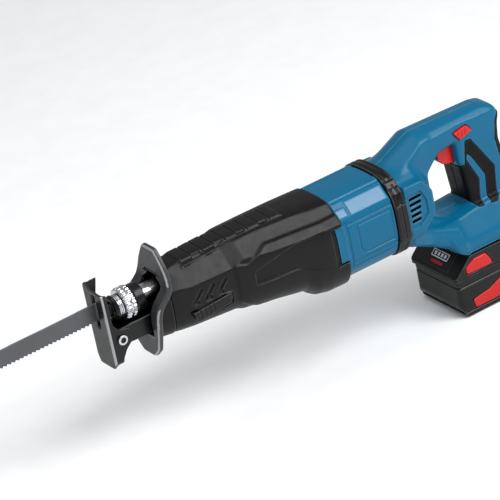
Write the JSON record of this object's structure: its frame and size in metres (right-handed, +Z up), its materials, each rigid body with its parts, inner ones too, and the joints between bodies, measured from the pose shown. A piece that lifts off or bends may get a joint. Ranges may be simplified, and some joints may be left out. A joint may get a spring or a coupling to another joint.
{
  "type": "reciprocating saw",
  "caption": "Cordless reciprocating saw with D-handle, rubber front boot, finger guard, pivoting shoe, keyless blade clamp and slide-on battery",
  "frame": {"origin": "middle of the battery's flat underside", "axes": "+X from the blade towards the handle along the plunger, +Y to the tool's right, +Z up"},
  "size_m": [0.635, 0.092, 0.203],
  "materials": {
    "black_rubber": "satin moulded rubber",
    "grey_rubber": "satin moulded rubber",
    "black_plastic": "fine-textured moulding",
    "blue_plastic": "satin moulded shell",
    "red_plastic": "satin moulding",
    "dark_steel": "black coated sheet",
    "bright_steel": "ground and polished",
    "blade_steel": "dark rolled strip",
    "aluminium": "die cast",
    "bronze": "sintered",
    "copper": "wound copper and laminations",
    "board": "solder mask",
    "cell_wrap": "shrink sleeve"
  },
  "bodies": {
    "frame": {"rubber_boot": "black_rubber", "hand_guard": "grey_rubber", "gear_housing": "aluminium", "front_bush": "bronze", "rear_bush": "bronze", "plunger_seal": "black_rubber", "shaft_bearing_front": "bright_steel", "shaft_bearing_rear": "bright_steel", "motor_end_plate": "aluminium", "motor_bearing_front": "bright_steel", "motor_can": "dark_steel", "motor_bearing_rear": "bright_steel", "brush_upper": "dark_steel", "brush_lower": "dark_steel", "motor_housing": "blue_plastic", "housing_ring": "black_rubber", "rear_shell_left": "blue_plastic", "rear_shell_right": "blue_plastic", "grip_pad_left": "black_rubber", "grip_pad_right": "black_rubber", "grip_spine": "black_rubber", "shell_screw_1": "dark_steel", "shell_screw_2": "dark_steel", "shell_screw_3": "dark_steel", "shell_screw_4": "dark_steel", "switch_module": "black_plastic", "controller_board": "board", "terminal_block": "black_plastic", "lead_red": "red_plastic", "lead_black": "black_plastic", "motor_lead": "red_plastic"},
    "plunger": {"plunger": "bright_steel", "clamp_nose": "black_plastic", "clamp_spring": "bright_steel", "clamp_sleeve": "black_plastic"},
    "collar": {"clamp_collar": "bright_steel"},
    "lock_pin": {"lock_pin": "bright_steel"},
    "blade": {"blade": "blade_steel"},
    "wobble_plate": {"wobble_plate": "bright_steel"},
    "wobble_shaft": {"wobble_shaft": "bright_steel", "wobble_gear": "bright_steel"},
    "rotor": {"armature": "copper", "drive_pinion": "bright_steel", "cooling_fan": "black_plastic"},
    "shoe_bracket": {"shoe_bracket": "dark_steel", "shoe_pivot_bolt": "bright_steel"},
    "shoe": {"shoe_plate": "dark_steel"},
    "shoe_lever": {"shoe_lever": "black_plastic"},
    "trigger": {"trigger": "red_plastic"},
    "lock_off_button": {"lock_off_button": "red_plastic"},
    "battery": {"battery_base": "black_plastic", "battery_top": "black_plastic", "cell_pack": "cell_wrap", "battery_board": "board", "battery_contacts": "bronze", "gauge_panel": "black_plastic", "battery_label_left": "red_plastic", "battery_label_right": "red_plastic"},
    "battery_button_left": {"battery_button_left": "red_plastic"},
    "battery_button_right": {"battery_button_right": "red_plastic"}
  },
  "joints": [
    {"name": "plunger_stroke", "type": "slide", "parent": "frame", "child": "plunger", "axis": [1, 0, 0], "range_m": [-0.003, 0.025]},
    {"name": "wobble_swing", "type": "hinge", "parent": "frame", "child": "wobble_plate", "pos_m": [-0.204, 0, 0.11895], "axis": [0, 1, 0], "range_deg": [-4.5, 34.5]},
    {"name": "motor_spin", "type": "hinge", "parent": "frame", "child": "rotor", "pos_m": [-0.136, 0, 0.141], "axis": [1, 0, 0], "continuous": true},
    {"name": "gear_spin", "type": "hinge", "parent": "frame", "child": "wobble_shaft", "pos_m": [-0.204, 0, 0.11895], "axis": [1, 0, 0], "continuous": true},
    {"name": "collar_twist", "type": "hinge", "parent": "plunger", "child": "collar", "pos_m": [-0.386, 0, 0.161], "axis": [1, 0, 0], "range_deg": [0, 60], "stiffness_Nm_per_rad": 0.08, "springref_deg": -28.65},
    {"name": "lock_pin_lift", "type": "slide", "parent": "plunger", "child": "lock_pin", "axis": [0, -1, 0], "range_m": [0, 0.0016]},
    {"name": "blade_release", "type": "slide", "parent": "plunger", "child": "blade", "axis": [-1, 0, 0], "range_m": [0, 0.02]},
    {"name": "shoe_adjust", "type": "slide", "parent": "frame", "child": "shoe_bracket", "axis": [1, 0, 0], "range_m": [-0.014, 0]},
    {"name": "shoe_tilt", "type": "hinge", "parent": "shoe_bracket", "child": "shoe", "pos_m": [-0.4042, 0, 0.1361], "axis": [0, 1, 0], "range_deg": [-20, 12]},
    {"name": "shoe_lever_swing", "type": "hinge", "parent": "frame", "child": "shoe_lever", "pos_m": [-0.2965, -0.0314, 0.135], "axis": [0, 0, 1], "range_deg": [0, 60]},
    {"name": "trigger_pull", "type": "slide", "parent": "frame", "child": "trigger", "axis": [1, 0, 0], "range_m": [0, 0.006], "stiffness_N_per_m": 300, "springref_m": -0.006},
    {"name": "lock_off_slide", "type": "slide", "parent": "frame", "child": "lock_off_button", "axis": [0, 1, 0], "range_m": [0, 0.004], "stiffness_N_per_m": 200, "springref_m": -0.003},
    {"name": "battery_slide", "type": "slide", "parent": "frame", "child": "battery", "axis": [-1, 0, 0], "range_m": [0, 0.07]},
    {"name": "battery_button_left_press", "type": "slide", "parent": "battery", "child": "battery_button_left", "axis": [0, 1, 0], "range_m": [0, 0.003], "stiffness_N_per_m": 300, "springref_m": -0.003},
    {"name": "battery_button_right_press", "type": "slide", "parent": "battery", "child": "battery_button_right", "axis": [0, -1, 0], "range_m": [0, 0.003], "stiffness_N_per_m": 300, "springref_m": -0.003}
  ],
  "couplings": [
    {"joint": "wobble_swing", "follows": "plunger_stroke", "rad_per_m": 23.781},
    {"joint": "gear_spin", "follows": "motor_spin", "ratio": -0.19512},
    {"joint": "lock_pin_lift", "follows": "collar_twist", "m_per_rad": 0.00143}
  ]
}
